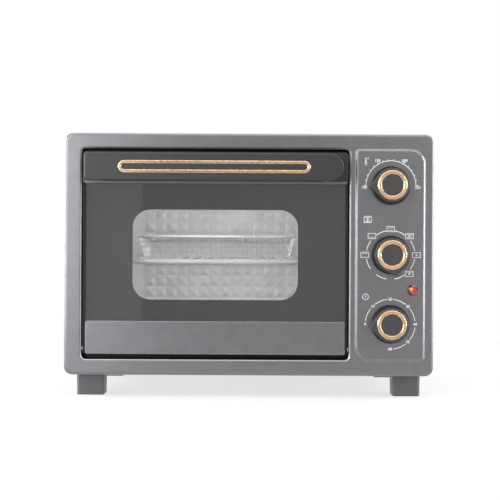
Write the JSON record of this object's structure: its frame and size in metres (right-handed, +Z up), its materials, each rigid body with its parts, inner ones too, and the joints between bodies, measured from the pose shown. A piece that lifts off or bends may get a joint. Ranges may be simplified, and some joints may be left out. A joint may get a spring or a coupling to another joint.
{
  "type": "air fryer oven",
  "caption": "Countertop air fryer oven with a drop-down glass door, control knobs, heating rods, a fan, and a rack, basket and crumb tray inside.",
  "frame": {"origin": "on the table, under the middle of the whole object", "axes": "+X to the oven's right as seen from the front, -Y out of the door, +Z up"},
  "size_m": [0.45, 0.3626, 0.3213],
  "materials": {
    "case_paint": "fine metallic grey paint, satin",
    "handle_plastic": "moulded dark grey plastic, fine grain",
    "black_plastic": "moulded black plastic",
    "switch_plastic": "heat-proof moulding",
    "gold_plate": "polished gold-coloured plating",
    "door_glass": "toughened glass with a printed border",
    "door_channel": "dark painted steel",
    "chamber_steel": "aluminised steel",
    "zinc_steel": "zinc-plated steel",
    "heater_sheath": "heat-dulled sheath",
    "ceramic_white": "unglazed white ceramic",
    "fan_metal": "pressed aluminium",
    "motor_iron": "laminated iron",
    "coil_wrap": "taped winding",
    "lamp_red": "clear red lens",
    "screw_steel": "plated steel",
    "rack_chrome": "bright plated wire",
    "tray_enamel": "dark enamel"
  },
  "bodies": {
    "case": {"front_frame": "case_paint", "wrap_cover": "case_paint", "back_cover": "case_paint", "base_pan": "case_paint", "cavity_liner": "chamber_steel", "cavity_back": "chamber_steel", "cavity_supports": "zinc_steel", "upper_front_heater": "heater_sheath", "upper_rear_heater": "heater_sheath", "lower_front_heater": "heater_sheath", "lower_rear_heater": "heater_sheath", "heater_insulators": "ceramic_white", "fan_grille": "chamber_steel", "fan_housing": "zinc_steel", "fan_motor": "motor_iron", "motor_coil": "coil_wrap", "motor_bracket": "zinc_steel", "thermostat": "zinc_steel", "function_switch": "switch_plastic", "timer_unit": "zinc_steel", "lamp_lens": "lamp_red", "lamp_holder": "switch_plastic", "cord_bush": "black_plastic", "foot_screws": "screw_steel", "cover_screws": "screw_steel", "hinge_pin_left": "screw_steel", "hinge_pin_right": "screw_steel", "hinge_bracket_left": "zinc_steel", "hinge_bracket_right": "zinc_steel", "foot_front_left": "black_plastic", "foot_front_right": "black_plastic", "foot_rear_left": "black_plastic", "foot_rear_right": "black_plastic"},
    "door": {"door_glass": "door_glass", "door_trim": "case_paint", "door_handle": "handle_plastic", "handle_inlay": "gold_plate", "handle_screws": "screw_steel", "door_side_left": "door_channel", "door_side_right": "door_channel", "door_arm_left": "zinc_steel", "door_arm_right": "zinc_steel"},
    "fan": {"fan_wheel": "fan_metal", "motor_shaft": "fan_metal"},
    "rack": {"wire_rack": "rack_chrome"},
    "basket": {"fry_basket": "rack_chrome"},
    "tray": {"crumb_tray": "tray_enamel"},
    "temperature_control": {"temperature_knob": "handle_plastic", "temperature_ring": "gold_plate", "temperature_shaft": "screw_steel"},
    "function_control": {"function_knob": "handle_plastic", "function_ring": "gold_plate", "function_shaft": "screw_steel"},
    "timer_control": {"timer_knob": "handle_plastic", "timer_ring": "gold_plate", "timer_shaft": "screw_steel"}
  },
  "joints": [
    {"name": "door_hinge", "type": "hinge", "parent": "case", "child": "door", "pos_m": [-0.04095, -0.1507, 0.0587], "axis": [1, 0, 0], "range_deg": [0, 90]},
    {"name": "temperature_turn", "type": "hinge", "parent": "case", "child": "temperature_control", "pos_m": [0.172, -0.1591, 0.2587], "axis": [0, 1, 0], "range_deg": [0, 186]},
    {"name": "function_turn", "type": "hinge", "parent": "case", "child": "function_control", "pos_m": [0.172, -0.1591, 0.17455], "axis": [0, 1, 0], "range_deg": [0, 330]},
    {"name": "timer_turn", "type": "hinge", "parent": "case", "child": "timer_control", "pos_m": [0.172, -0.1591, 0.0904], "axis": [0, 1, 0], "range_deg": [0, 277]},
    {"name": "fan_spin", "type": "hinge", "parent": "case", "child": "fan", "pos_m": [0.1063, -0.0085, 0.17375], "axis": [1, 0, 0], "continuous": true},
    {"name": "rack_slide", "type": "slide", "parent": "case", "child": "rack", "axis": [0, -1, 0], "range_m": [0, 0.012]},
    {"name": "basket_slide", "type": "slide", "parent": "rack", "child": "basket", "axis": [0, -1, 0], "range_m": [0, 0.035]},
    {"name": "tray_slide", "type": "slide", "parent": "case", "child": "tray", "axis": [0, -1, 0], "range_m": [0, 0.012]}
  ]
}
